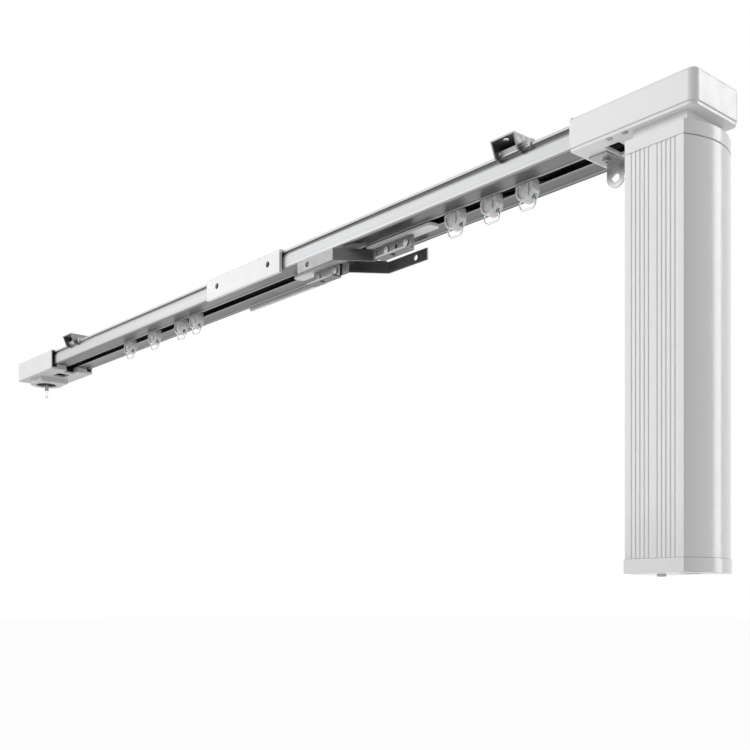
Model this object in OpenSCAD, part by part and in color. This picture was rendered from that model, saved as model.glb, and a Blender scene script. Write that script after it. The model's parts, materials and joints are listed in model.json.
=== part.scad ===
// Electric curtain track: a slotted ceiling rail, a belt drive, two meeting carriers and a hanging motor.
// X runs along the rail towards the motor, Y away from the viewer, Z up.
// The origin is on the ceiling, midway between the two bracket screws.

/* [Rail] */
// Length of rail seen between the return end and the drive head
rail_clear = 816; // [800:2:900]
// Width of the rail
rail_w = 48; // [47:0.5:52]
// Height of the rail
rail_h = 15.8; // [15:0.2:18]
// Wall of the rail
rail_t = 1.5; // [1.2:0.1:1.7]
// Width of the slot along the underside
slot_w = 10; // [9:0.5:11]
// Length of each rail end held inside a fitting
rail_in = 14; // [10:1:18]
// Place of the joint between the two rail lengths
joint_x = 20; // [0:1:40]

/* [Ceiling brackets] */
// Distance between the two bracket screws
bracket_pitch = 708; // [680:2:730]
// Length of a bracket along the rail
bracket_l = 22; // [20:0.5:26]
// Sheet thickness of a bracket
bracket_t = 1.2; // [1:0.1:1.6]
// Drop from the ceiling to the top of the rail
bracket_drop = 8.7; // [8.5:0.1:12]
// Diameter of the ceiling screw hole
screw_hole_d = 4.4; // [4:0.1:5]

/* [Splice saddle] */
// Length of the saddle
saddle_l = 123; // [100:1:140]
// Wall of the saddle
saddle_t = 3; // [2:0.2:4]
// Distance between the saddle's screws
saddle_pitch = 86; // [60:1:92]

/* [Drive head] */
// Length of the head
head_l = 94; // [92:0.5:104]
// Wall of the head cover
head_t = 1.6; // [1.2:0.1:2]
// Height of the head above the rail
head_rise = 3.7; // [3:0.1:8]
// Thickness of the head's base plate
base_t = 2.2; // [2:0.1:3]
// Distance from the rail side of the head to the motor's axis
motor_off = 66; // [64:0.5:68]

/* [Motor] */
// Width of the flat front
motor_flat = 42.4; // [40:0.2:46]
// Depth of the motor
motor_d = 53; // [51:0.5:56]
// Bulge of each rounded side
motor_bulge = 7; // [5:0.5:8]
// Height from the top cap to the bottom cap
motor_h = 272; // [262:1:300]
// Height of the top cap
top_cap_h = 8.6; // [7:0.2:11]
// Height of the bottom cap
bottom_cap_h = 9; // [8:0.2:11]
// Wall of the motor tube
tube_t = 2.6; // [2.4:0.1:3.2]
// Height of the neck under the head
neck_h = 8; // [6:0.5:10]
// Width of one groove in the ribbed faces
groove_w = 1.5; // [1:0.1:1.8]
// Distance from groove to groove
groove_pitch = 3.15; // [2.8:0.05:3.3]

/* [Return end] */
// Length of the return end
return_l = 107; // [104:1:120]
// Wall of the return cap
return_t = 1.2; // [1:0.1:1.6]
// Distance from the rail side of the return end to the pulley
return_off = 79; // [72:1:80]
// Drop of the return end below the rail
return_drop = 6; // [5:0.5:8]

/* [Belt drive] */
// Radius of both belt pulleys
pulley_r = 17.5; // [16.5:0.1:17.6]
// Thickness of the belt
belt_t = 1.4; // [1:0.1:1.5]
// Height of the belt
belt_h = 6; // [5:0.5:6]

/* [Carriers] */
// Place where the two curtains meet
meet_x = 164; // [158:1:168]
// Distance from the meeting place to the middle of a hanger
hanger_off = 47; // [46:0.5:50]
// Length of a hanger
hanger_l = 37; // [34:0.5:40]
// Height of an overlap arm
arm_h = 9.8; // [9:0.1:10.4]
// Sheet thickness of hangers and arms
plate_t = 1.5; // [1.2:0.1:1.8]
// Distance of an arm's free end from the rail's middle
arm_out = 29.5; // [28.5:0.1:31]
// Radius of a carrier wheel
wheel_r = 4; // [3.4:0.1:4]

/* [Runners] */
// Width of a runner along the rail
runner_d = 16; // [15:0.2:16.2]
// Thickness of a runner across the rail
runner_t = 8.2; // [7:0.1:8.3]
// Radius of a wire eye's round ends, to the middle of the wire
eye_r = 4; // [3.9:0.1:4.2]
// Straight length of a wire eye
eye_flat = 7.2; // [7:0.1:7.4]
// Radius of the wire
wire_r = 0.7; // [0.5:0.05:0.75]

/* [Hidden] */
$fn = 48;
// Clearances: between fixed pieces, between moving pieces, round a shaft, over the rail's flanges
seat = 0.1;
gap = 0.35;
fit = 0.05;
glide = 0.3;
// Overrun of a cut past the face it opens
over = 1;

// Rail levels and places
half_w = rail_w / 2;
rail_top = -bracket_drop;
rail_bot = rail_top - rail_h;
rail_lip = 1.2;
rail_bead = 0.5;
face_in = 0.3;
face_steps = 6;
foot_r = 3;
foot_steps = 6;
flange_top = rail_bot + rail_t;
hollow_top = rail_top - rail_t;
hollow_y = half_w - rail_lip - rail_t;
rib_t = 1.2;
rib_h = 2.4;
rib_y = slot_w / 2 + 8.4;
x_right = rail_clear / 2;
x_left = -rail_clear / 2;

// The ceiling screws lie in front of the rail, so its middle lies behind the origin
hole_out = 3.5;
rail_y = half_w + hole_out;

// Brackets and their latches
bracket_front = half_w + 8;
bracket_rear = half_w + 4;
cheek_foot = half_w + 3.6;
cheek_toe = half_w + 1.8;
cheek_hook = 3.2;
latch_h = 3.2;
latch_w = 3;
latch_reach = 9;
latch_hook = 2;
latch_front = half_w - 0.4;

// Splice saddle
saddle_rise = 1.6;
saddle_drop = 3.1;
saddle_edge = 1;
saddle_in = half_w + seat;
saddle_screw_r = 2.8;
saddle_screw_l = saddle_t * 0.6;
saddle_screw_z = (rail_top + rail_bot) / 2;
hex_key_r = 1.5;

// Drive head
head_half = half_w + seat + head_t;
head_top = rail_top + head_rise;
head_bot = rail_bot - rail_bead - glide - base_t;
head_floor = head_bot + base_t;
head_r = 5;
head_cut = 2.4;
base_in = 0.8;
bush_wall = 2;
motor_x = x_right + motor_off;
head_screw_x = [30, 42];
head_screw_y = half_w - 1.6;
head_screw_r = 1.1;
head_boss_r = 2.4;
head_screw_in = 6;

// End hook under the head
hook_off = 11.6;
hook_x = x_right + hook_off;
hook_w = 14.5;
hook_t = 1.4;
hook_front = 10;
hook_rear = 11;
hook_drop = 17.2;
hook_hole_r = 3;
hook_hole_z = 10.8;
hook_screw_r = 1.5;
port_x = hook_x + hook_w / 2 + 1.3;
port_l = 11;
port_front = 14;
port_w = 18;

// Motor
neck_bot = head_bot - neck_h;
tube_top = neck_bot - top_cap_h;
motor_bot = neck_bot - motor_h;
tube_bot = motor_bot + bottom_cap_h;
side_r = motor_d * motor_d / (8 * motor_bulge) + motor_bulge / 2;
side_c = motor_flat / 2 + motor_bulge - side_r;
groove_d = 0.5;
groove_mid = 3.05;
groove_count = 5;
cap_proud = 0.7;
cap_wall = 2.5;
spigot_t = 1.6;
spigot_h = 5;
neck_x = 39;
neck_y = 40;
neck_t = 3;
channel_x = motor_flat / 2 - 4.2;
channel_y = motor_d / 2 - tube_t - 2.7;
channel_r = 3;
cap_screw_r = 1.4;
cap_screw_head = 2.6;
cap_screw_in = 9;

// Motor's inner pieces
shaft_r = 4;
shaft_in = 12;
bush_r = 7;
bush_lip = 2.5;
bush_rise = 1.2;
gearbox_r = 20;
gearbox_h = 46;
can_r = 18.5;
can_h = 92;
board_t = 1.6;
board_w = 34;
board_l = 78;
board_y = 12;
board_chip_h = 9;
board_can_h = 11;
board_foot = 4;
inlet_x = 10;
inlet_w = 14;
inlet_d = 10;
inlet_h = 9;
inlet_wall = 1.8;
button_x = -12;
button_y = 0;
button_r = 3;
button_lip = 1.6;
button_proud = 1.6;
button_travel = 1.2;

// Belt and pulleys
belt_in = pulley_r + gap;
belt_out = belt_in + belt_t;
belt_z = flange_top + 2;
pulley_bot = belt_z - glide;
pulley_h = belt_h + 2 * glide;
pulley_rim_t = 1;
pulley_rim_r = belt_out + 0.5;
tooth_count = 24;
tooth_r = 0.9;
hub_r = 7;
hub_rise = 2.6;

// Return end
return_x = x_left - return_off;
return_half = half_w + 3.5;
return_rise = 1.5;
return_r = 3;
return_top = rail_top + return_rise;
return_bot = rail_bot - return_drop;
axle_r = 3;
axle_head_r = 7;
axle_head_h = 2;
clip_r = 5;
clip_h = 0.8;
boss_h = 5.5;
boss_r = 20;
boss_hole = 13;
boss_block = 26;
boss_half = 18;
cradle_t = 1.5;
cradle_y = [8, 20];
cradle_stop = 4;
boss_floor = 1.4;
lug_hole = wire_r + 0.55;
lug_r = lug_hole + 0.85;
lug_half = 1.2;
return_lug_z = return_bot - boss_h - 5;
return_eye_r = 3.6;
return_eye_l = 4.8;
boss_wall = 2;
window_x = 43;
window_l = 20;
window_w = 16;
notch_l = 13;
notch_w = 14;

// Carriers: distances along the rail are counted from the hanger's middle, away from the meeting place
deck_gap = 0.5;
deck_t = 2.4;
deck_top = rail_bot - rail_bead - deck_gap;
deck_bot = deck_top - deck_t;
deck_half = 5.6;
deck_in = 34;
deck_tail = 44;
deck_r = 3.5;
web_half = slot_w / 2 - 1.4;
web_in = 30;
web_tail = 34;
web_top = hollow_top - 0.7;
wheel_x = 24;
wheel_z = flange_top + glide + wheel_r;
wheel_in = slot_w / 2 + 0.4;
wheel_w = 3;
wheel_hub = 2.2;
axle_pin = 1.5;
grip_t = 1.2;
grip_half = 6;
grip_bot = belt_z + 0.6;
grip_h = 1.6;
hanger_seat = 1;
hanger_foot = 9;
hanger_bot = deck_bot - arm_h - plate_t - 0.9;
hanger_hole = 5;
arm_top = deck_bot - 0.2;
arm_bot = arm_top - arm_h;
arm_root = 29;
arm_bend = 49;
arm_reach = 98;
arm_lip = 3.5;
arm_hole_r = 2.5;
arm_hole_in = 14;
arm_angle = atan2(arm_out - plate_t, arm_bend - arm_root);
arm_mitre = plate_t / 2 * tan(arm_angle / 2);
rivet_x = 12;
rivet_r = 1.6;
rivet_head_r = 2.8;
rivet_head_h = 0.8;
rivet_z = (arm_top + arm_bot) / 2;

// Runners
runner_x = [-252, -195, -137, -106, 277, 315, 350];
runner_top = rail_bot - rail_bead - glide;
runner_z = runner_top - 3.8;
runner_foot = flange_top + glide;
runner_foot_h = 2.2;
runner_foot_r = 8;
runner_foot_x = 6;
stem_x = runner_d / 2 - 0.5;
runner_rim = 1.6;
panel_in = 1.2;
panel_rib_x = 2;
panel_rib = 1.8;
panel_boss_r = 2.4;
eye_hole = wire_r + 0.8;
eye_z = runner_z - runner_d / 2 + 3.1;

// Stands a YZ profile up and runs it along X from x0
module along_x(x0, length) {
    translate([x0, 0, 0]) rotate([90, 0, 90]) linear_extrude(length) children();
}

// Cylinder across the rail, its middle at the child's place
module across(r, length) {
    rotate([90, 0, 0]) cylinder(r = r, h = length, center = true);
}

// Cylinder along the rail, its middle at the child's place
module along(r, length) {
    rotate([0, 90, 0]) cylinder(r = r, h = length, center = true);
}

// Plan rectangle whose two corners at the x1 end are rounded
module end_rounded(x0, x1, half, r) {
    inner = x1 > x0 ? x1 - r : x1 + r;
    translate([min(x0, inner), -half]) square([abs(inner - x0), 2 * half]);
    translate([min(inner, x1) - (x1 > x0 ? r : 0), r - half]) square([2 * r, 2 * (half - r)]);
    for (side = [-1, 1]) translate([inner, side * (half - r)]) circle(r);
}

// Plan stadium round both pulley axes
module belt_outline(r) {
    translate([return_x, -r]) square([motor_x - return_x, 2 * r]);
    for (x = [return_x, motor_x]) translate([x, 0]) circle(r, $fn = 96);
}

// Motor section: flat front and back with two bulging sides, drawn in by a wall
module motor_outline(inset) {
    intersection() {
        square([2 * motor_d, motor_d - 2 * inset], center = true);
        translate([side_c, 0]) circle(side_r - inset, $fn = 128);
        translate([-side_c, 0]) circle(side_r - inset, $fn = 128);
    }
}

function mirrored(points) = [for (i = [len(points) - 1 : -1 : 0]) [-points[i][0], points[i][1]]];

// Rail face under the top lip: a curve that eases from the lip's undercut out to the flat
function rail_face() = [for (i = [0 : face_steps]) let (t = i / face_steps)
    [half_w - rail_lip + (rail_lip - face_in) * t * (2 - t),
     rail_top - 2 * rail_lip + (saddle_screw_z - rail_top + 2 * rail_lip) * t]];

// Rounded lower edge of the rail face
function rail_foot() = [for (i = [0 : foot_steps]) let (turn = 90 * i / foot_steps)
    [half_w - face_in - foot_r * (1 - cos(turn)), rail_bot + foot_r * (1 - sin(turn))]];

// Rear half of the rail section: top lip, face, rounded foot, slotted underside, rib and hollow
function rail_half() = concat([
    [half_w, rail_top],
    [half_w, rail_top - rail_lip]],
    rail_face(), rail_foot(), [
    [slot_w / 2 + 4 * rail_bead, rail_bot],
    [slot_w / 2 + 3 * rail_bead, rail_bot - rail_bead],
    [slot_w / 2, rail_bot - rail_bead],
    [slot_w / 2, flange_top],
    [rib_y - rib_t / 2, flange_top],
    [rib_y - rib_t / 2, flange_top + rib_h],
    [rib_y + rib_t / 2, flange_top + rib_h],
    [rib_y + rib_t / 2, flange_top],
    [hollow_y, flange_top],
    [hollow_y, hollow_top]]);

module rail(x0, x1) {
    color("Silver") translate([0, rail_y, 0]) along_x(x0, x1 - x0)
        polygon(concat(rail_half(), mirrored(rail_half())));
}

module rail_left() rail(x_left - rail_in, joint_x);
module rail_right() rail(joint_x, x_right + rail_in);

// White saddle that carries the rail joint on four set screws
module splice_saddle() {
    outer = saddle_in + saddle_t;
    rear = [[outer - saddle_edge, rail_top + saddle_rise], [outer, rail_top + saddle_rise - saddle_edge],
            [outer, rail_bot - saddle_drop], [saddle_in, rail_bot - saddle_drop], [saddle_in, rail_top]];
    color("White") translate([0, rail_y, 0]) difference() {
        along_x(joint_x - saddle_l / 2, saddle_l) polygon(concat(rear, mirrored(rear)));
        for (end = [-1, 1]) translate([joint_x + end * saddle_pitch / 2, 0, saddle_screw_z])
            across(saddle_screw_r + fit, 2 * (outer + over));
    }
}

module splice_screws() {
    color("DimGray") translate([joint_x, rail_y, saddle_screw_z])
        for (end = [-1, 1], turn = [0, 180]) translate([end * saddle_pitch / 2, 0, 0])
            rotate([90, 0, turn]) translate([0, 0, half_w - face_in]) difference() {
                cylinder(r = saddle_screw_r, h = saddle_screw_l);
                translate([0, 0, saddle_screw_l / 2]) cylinder(r = hex_key_r, h = saddle_screw_l, $fn = 6);
            }
}

// Side view of a bracket cheek: raked front, feet hooked under both rail lips, window for the latch
module cheek_profile() {
    hook_in = half_w - rail_lip + seat;
    foot = rail_top - cheek_hook;
    lip_under = rail_top - rail_lip - seat;
    difference() {
        polygon([[-bracket_front, 0], [bracket_rear, 0], [cheek_foot, foot + rail_lip], [cheek_toe, foot],
                 [hook_in + glide, foot], [hook_in + glide, rail_top + seat],
                 [-hook_in - glide, rail_top + seat], [-hook_in - glide, foot],
                 [-cheek_toe, foot], [-cheek_foot, foot + rail_lip]]);
        translate([-half_w - seat, lip_under]) square([rail_w + 2 * seat, rail_top + seat - lip_under]);
        polygon([[-half_w - seat, lip_under], [half_w + seat, lip_under],
                 [hook_in, lip_under - rail_lip], [-hook_in, lip_under - rail_lip]]);
        translate([-latch_front - seat, rail_top]) square([latch_w + 2 * seat, latch_h + seat]);
    }
}

// Inverted channel screwed to the ceiling, hooked over the rail's top lips
module bracket(x) {
    color([0.25, 0.25, 0.26]) translate([x, 0, 0]) difference() {
        translate([0, rail_y, 0]) union() {
            translate([-bracket_l / 2, -bracket_front, -bracket_t])
                cube([bracket_l, bracket_front + bracket_rear, bracket_t]);
            for (x0 = [-bracket_l / 2, bracket_l / 2 - bracket_t]) along_x(x0, bracket_t) cheek_profile();
        }
        translate([0, 0, -bracket_t - over]) cylinder(d = screw_hole_d, h = bracket_t + 2 * over);
    }
}

module bracket_left() bracket(-bracket_pitch / 2);
module bracket_right() bracket(bracket_pitch / 2);

// Latch plate between the cheeks, with a tongue that leaves through the window and hooks over the lip
module latch(x) {
    inside = bracket_l / 2 - bracket_t - seat;
    tip = bracket_l / 2 + latch_reach;
    hook_out = half_w + seat + rail_lip;
    color("Gainsboro") translate([x, rail_y, rail_top]) union() {
        translate([-inside, -latch_front, 0]) cube([2 * inside, 2 * latch_front, latch_h]);
        translate([0, -latch_front, 0]) cube([tip, latch_w, latch_h]);
        along_x(tip - latch_hook, latch_hook)
            polygon([[-latch_front, latch_h], [-hook_out, latch_h - rail_lip], [-hook_out, -2 * rail_lip],
                     [-half_w - seat, -2 * rail_lip], [-half_w - seat, 0], [-latch_front, 0]]);
    }
}

module latch_left() latch(-bracket_pitch / 2);
module latch_right() latch(bracket_pitch / 2);

function head_screw_places() = [for (x = head_screw_x, y = [-1, 1]) [x_right + x, y * head_screw_y]];

// Drive head cover: a shell open below, with a mouth for the rail and bosses for its screws
module head_cover() {
    color("WhiteSmoke") translate([0, rail_y, 0]) difference() {
        union() {
            difference() {
                translate([0, 0, head_floor]) linear_extrude(head_top - head_floor)
                    end_rounded(x_right, x_right + head_l, head_half, head_r);
                translate([0, 0, head_floor - over]) linear_extrude(head_top - head_t - head_floor + over)
                    end_rounded(x_right + head_t, x_right + head_l - head_t,
                                head_half - head_t, head_r - head_t);
            }
            for (p = head_screw_places()) translate([p[0], p[1], head_floor])
                cylinder(r = head_boss_r, h = head_top - head_floor - head_t / 2);
        }
        translate([x_right - over, -half_w - seat / 2, head_floor - over])
            cube([head_t + 2 * over, rail_w + seat, rail_top + seat - head_floor + over]);
        translate([x_right, 0, head_top]) rotate([0, 45, 0])
            cube([head_cut, 2 * (head_half + over), head_cut], center = true);
        for (p = head_screw_places()) translate([p[0], p[1], head_floor - over])
            cylinder(r = head_screw_r + fit, h = head_screw_in + over);
    }
}

// Base plate that closes the head under the rail's end and carries the neck and the shaft bush,
// with a port beside the hook through which the belt is reached
module head_base() {
    color("Gainsboro") translate([0, rail_y, head_bot]) difference() {
        union() {
            linear_extrude(base_t)
                end_rounded(x_right + base_in, x_right + head_l - base_in,
                            head_half - base_in, head_r - base_in);
            translate([motor_x, 0, 0]) cylinder(r = bush_r + bush_wall, h = base_t + bush_rise);
        }
        translate([motor_x, 0, -over]) cylinder(r = bush_r, h = base_t + bush_rise + 2 * over);
        for (p = head_screw_places()) translate([p[0], p[1], -over])
            cylinder(r = head_screw_r + fit, h = base_t + 2 * over);
        translate([hook_x, 0, -over]) cylinder(r = hook_screw_r, h = base_t + 2 * over);
        translate([port_x, -port_front, -over]) cube([port_l, port_w, base_t + 2 * over]);
    }
}

module head_screws() {
    head_h = 0.9;
    color("DarkGray") translate([0, rail_y, head_bot]) for (p = head_screw_places())
        translate([p[0], p[1], 0]) union() {
            translate([0, 0, -head_h]) cylinder(r = 2 * head_screw_r, h = head_h);
            cylinder(r = head_screw_r, h = base_t + head_screw_in - head_h);
        }
}

// Steel hook for the curtain's fixed edge: a plate on the base with a round-ended tab bent down
module end_hook() {
    color("LightSlateGray") translate([hook_x, rail_y, head_bot]) difference() {
        union() {
            translate([-hook_w / 2, -hook_front, -hook_t]) cube([hook_w, hook_front + hook_rear, hook_t]);
            translate([0, hook_rear, 0]) rotate([90, 0, 0]) linear_extrude(hook_t) union() {
                translate([-hook_w / 2, hook_w / 2 - hook_drop]) square([hook_w, hook_drop - hook_w / 2]);
                translate([0, hook_w / 2 - hook_drop]) circle(hook_w / 2);
            }
        }
        translate([0, 0, -hook_t - over]) cylinder(r = hook_screw_r, h = hook_t + 2 * over);
        translate([0, hook_rear - hook_t / 2, -hook_hole_z]) across(hook_hole_r, hook_t + 2 * over);
    }
}

module hook_screw() {
    head_h = 1.6;
    color("DarkGray") translate([hook_x, rail_y, head_bot - hook_t]) difference() {
        union() {
            translate([0, 0, -head_h]) cylinder(r = 2 * hook_screw_r, h = head_h);
            cylinder(r = hook_screw_r - fit, h = hook_t + base_t);
        }
        translate([0, 0, -head_h - over]) linear_extrude(over + head_h / 2) for (turn = [0, 90])
            rotate(turn) square([2.4 * hook_screw_r, hook_screw_r / 2], center = true);
    }
}

// Return cap: a box open below and towards the rail, round at its far corners
module return_cap() {
    height = return_top - return_bot;
    color("White") translate([0, rail_y, return_bot]) difference() {
        linear_extrude(height) end_rounded(x_left, x_left - return_l, return_half, return_r);
        translate([0, 0, -over]) linear_extrude(height - return_t + over)
            end_rounded(x_left + over, x_left - return_l + return_t,
                        return_half - return_t, return_r - return_t);
    }
}

// Return base: plate inside the cap, cradle for the rail's end, hollow boss with an opening under the pulley,
// and two gaps through which the belt's runs are reached
module return_base() {
    half = return_half - return_t - seat;
    far = x_left - return_l + return_t + seat;
    color("WhiteSmoke") translate([0, rail_y, return_bot]) difference() {
        union() {
            linear_extrude(base_t) end_rounded(x_left, far, half, return_r - return_t);
            translate([return_x, 0, -boss_h]) cylinder(r = boss_r, h = boss_h + base_t);
            translate([return_x, -boss_half, -boss_h]) cube([boss_block, 2 * boss_half, boss_h + base_t]);
            for (side = [-1, 1]) {
                translate([x_left - rail_in, side * (cradle_y[0] + cradle_y[1]) / 2, 0])
                    translate([0, (cradle_y[0] - cradle_y[1]) / 2, 0])
                        cube([rail_in, cradle_y[1] - cradle_y[0], return_drop - seat]);
                translate([x_left - rail_in, side * (half_w + seat + cradle_t / 2) - cradle_t / 2, 0])
                    cube([cradle_stop, cradle_t, return_drop + rail_h / 2]);
            }
        }
        translate([return_x, 0, -boss_h - over]) cylinder(r = boss_hole, h = boss_h + base_t + 2 * over);
        translate([return_x, 0, boss_floor - boss_h]) cylinder(r = boss_r - boss_wall, h = boss_h + base_t);
        translate([x_left - window_x, -window_w / 2, -over]) cube([window_l, window_w, base_t + 2 * over]);
        translate([x_left - notch_l, -notch_w / 2, -over]) cube([notch_l + over, notch_w, base_t + 2 * over]);
    }
}

// Return axle: riveted head under the cap, pin through the pulley, flattened foot with an eye hole
module return_axle() {
    head_z = return_top - return_t - axle_head_h;
    foot_z = return_lug_z - lug_r;
    color("DarkGray") translate([return_x, rail_y, 0]) difference() {
        union() {
            translate([0, 0, head_z]) cylinder(r = axle_head_r, h = axle_head_h);
            translate([0, 0, foot_z]) cylinder(r = axle_r, h = head_z - foot_z);
        }
        for (side = [-1, 1])
            translate([side * (lug_half + axle_r) - axle_r, -axle_r - over, foot_z - over])
                cube([2 * axle_r, 2 * (axle_r + over), 2 * lug_r + over]);
        translate([0, 0, return_lug_z]) along(lug_hole, 2 * (axle_r + over));
    }
}

// Clip ring that holds the return pulley up on its axle
module axle_clip() {
    low = pulley_bot - pulley_rim_t - hub_rise - glide - clip_h;
    color("DimGray") translate([return_x, rail_y, low]) difference() {
        cylinder(r = clip_r, h = clip_h);
        translate([0, 0, -over]) cylinder(r = axle_r + fit, h = clip_h + 2 * over);
    }
}

// Pulley body: two rims, a belt seat and a hub, bored for its shaft
module pulley(r_bore, hub_low, hub_high, teeth) {
    color([0.15, 0.15, 0.16]) difference() {
        union() {
            translate([0, 0, pulley_bot]) linear_extrude(pulley_h) difference() {
                circle(pulley_r, $fn = 96);
                if (teeth > 0) for (i = [1 : teeth]) rotate((i - 0.5) * 360 / teeth)
                    translate([pulley_r, 0]) circle(tooth_r, $fn = 24);
            }
            for (z = [pulley_bot - pulley_rim_t, pulley_bot + pulley_h])
                translate([0, 0, z]) cylinder(r = pulley_rim_r, h = pulley_rim_t, $fn = 96);
            translate([0, 0, hub_low]) cylinder(r = hub_r, h = hub_high - hub_low);
        }
        translate([0, 0, hub_low - over]) cylinder(r = r_bore, h = hub_high - hub_low + 2 * over);
    }
}

module return_pulley() {
    low = pulley_bot - pulley_rim_t - hub_rise;
    high = return_top - return_t - axle_head_h - glide;
    translate([return_x, rail_y, 0]) pulley(axle_r + fit, low, high, 0);
}

module drive_pulley() {
    low = head_floor + bush_rise + glide;
    high = pulley_bot + pulley_h + pulley_rim_t + hub_rise;
    translate([motor_x, rail_y, 0]) pulley(shaft_r + fit, low, high, tooth_count);
}

// Belt loop between the pulleys, along both sides of the rail's hollow
module belt() {
    color([0.1, 0.1, 0.1]) translate([0, rail_y, belt_z]) linear_extrude(belt_h) difference() {
        belt_outline(belt_out);
        belt_outline(belt_in);
    }
}

module shaft_bush() {
    color("DarkGoldenrod") translate([motor_x, rail_y, head_bot]) difference() {
        union() {
            cylinder(r = bush_r - fit, h = base_t + bush_rise);
            translate([0, 0, -bush_lip]) cylinder(r = bush_r + bush_lip, h = bush_lip);
        }
        translate([0, 0, -bush_lip - over])
            cylinder(r = shaft_r + fit, h = base_t + bush_rise + bush_lip + 2 * over);
    }
}

module drive_shaft() {
    low = neck_bot - cap_wall - shaft_in + glide;
    high = pulley_bot + pulley_h + pulley_rim_t + hub_rise;
    color("Silver") translate([motor_x, rail_y, low]) cylinder(r = shaft_r, h = high - low);
}

// Hollow neck between the head and the motor
module motor_neck() {
    color("WhiteSmoke") translate([motor_x, rail_y, neck_bot]) linear_extrude(neck_h) difference() {
        square([neck_x, neck_y], center = true);
        square([neck_x - 2 * neck_t, neck_y - 2 * neck_t], center = true);
    }
}

// Thin ring that a cap puts into the tube, cut away at the screw channels
module cap_spigot() {
    linear_extrude(spigot_h) difference() {
        motor_outline(tube_t + seat);
        motor_outline(tube_t + seat + spigot_t);
        channel_places() circle(channel_r + seat);
    }
}

module channel_places() {
    for (sx = [-1, 1], sy = [-1, 1]) translate([sx * channel_x, sy * channel_y]) children();
}

module motor_top_cap() {
    color("WhiteSmoke") translate([motor_x, rail_y, tube_top]) difference() {
        union() {
            linear_extrude(top_cap_h) motor_outline(0);
            translate([0, 0, -spigot_h]) cap_spigot();
        }
        translate([0, 0, -over]) linear_extrude(top_cap_h - cap_wall + over)
            motor_outline(tube_t + seat + spigot_t);
        cylinder(r = shaft_r + over, h = top_cap_h + over);
    }
}

// Extruded tube with two ribbed faces and four screw channels
module motor_tube() {
    length = tube_top - tube_bot;
    color("WhiteSmoke") translate([motor_x, rail_y, tube_bot]) linear_extrude(length) difference() {
        motor_outline(0);
        difference() {
            motor_outline(tube_t);
            channel_places() circle(channel_r);
        }
        channel_places() circle(cap_screw_r + fit);
        for (sx = [-1, 1], sy = [-1, 1], i = [0 : groove_count - 1])
            translate([sx * (groove_mid + i * groove_pitch), sy * motor_d / 2])
                square([groove_w, 2 * groove_d], center = true);
    }
}

// Bottom cap with a spigot, screw seats, the inlet's window, the button's hole and feet for the board
module motor_bottom_cap() {
    color("WhiteSmoke") translate([motor_x, rail_y, motor_bot]) difference() {
        union() {
            linear_extrude(bottom_cap_h) motor_outline(-cap_proud);
            translate([0, 0, bottom_cap_h]) cap_spigot();
        }
        translate([0, 0, cap_wall]) difference() {
            linear_extrude(bottom_cap_h) motor_outline(tube_t + seat + spigot_t);
            linear_extrude(bottom_cap_h) channel_places() circle(channel_r);
            for (side = [-1, 1])
                translate([side * (board_w / 2 - board_foot) - board_foot / 2, board_y - board_t, 0])
                    cube([board_foot, 2 * board_t, bottom_cap_h - cap_wall - board_t]);
        }
        linear_extrude(4 * bottom_cap_h, center = true) channel_places() circle(cap_screw_r + fit);
        translate([0, 0, -over]) linear_extrude(cap_wall / 2 + over)
            channel_places() circle(cap_screw_head + seat);
        translate([inlet_x, 0, 0])
            cube([inlet_w + 2 * fit, inlet_d + 2 * fit, 2 * inlet_h], center = true);
        translate([button_x, button_y, -over]) cylinder(r = button_r + fit, h = cap_wall + 2 * over);
    }
}

module cap_screws() {
    color("DimGray") translate([motor_x, rail_y, motor_bot]) channel_places() union() {
        cylinder(r = cap_screw_head, h = cap_wall / 2);
        cylinder(r = cap_screw_r, h = bottom_cap_h + cap_screw_in);
    }
}

// Gearbox hung under the top cap, with a stepped case and a blind bore for the shaft
module gearbox() {
    step = 1.5;
    color("Gray") translate([motor_x, rail_y, neck_bot - cap_wall - gearbox_h]) difference() {
        union() {
            cylinder(r = gearbox_r, h = gearbox_h);
            for (z = [gearbox_h / 3, 2 * gearbox_h / 3]) translate([0, 0, z])
                cylinder(r = gearbox_r + step, h = step);
        }
        translate([0, 0, gearbox_h - shaft_in]) cylinder(r = shaft_r + fit, h = shaft_in + over);
    }
}

// Motor can with its rear bearing boss and two tags
module gear_motor() {
    boss = 6;
    color("SlateGray") translate([motor_x, rail_y, neck_bot - cap_wall - gearbox_h - can_h]) union() {
        cylinder(r = can_r, h = can_h);
        translate([0, 0, -boss / 2]) cylinder(r = boss, h = boss / 2);
        for (side = [-1, 1]) translate([side * can_r / 2, 0, -boss / 2])
            cylinder(r = boss / 4, h = boss / 2);
    }
}

// Control board standing on the bottom cap's feet, with its larger parts
module control_board() {
    foot_z = motor_bot + bottom_cap_h - board_t;
    color("DarkGreen") translate([motor_x, rail_y + board_y, foot_z]) union() {
        translate([-board_w / 2, -board_t / 2, 0]) cube([board_w, board_t, board_l]);
        translate([-board_w / 4, -board_t / 2 - board_chip_h, board_l / 2])
            cube([board_w / 2, board_chip_h, board_l / 4]);
        for (side = [-1, 1]) translate([side * board_w / 4, -board_t / 2, board_l / 4]) rotate([90, 0, 0])
            cylinder(r = board_w / 8, h = board_can_h);
    }
}

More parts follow.
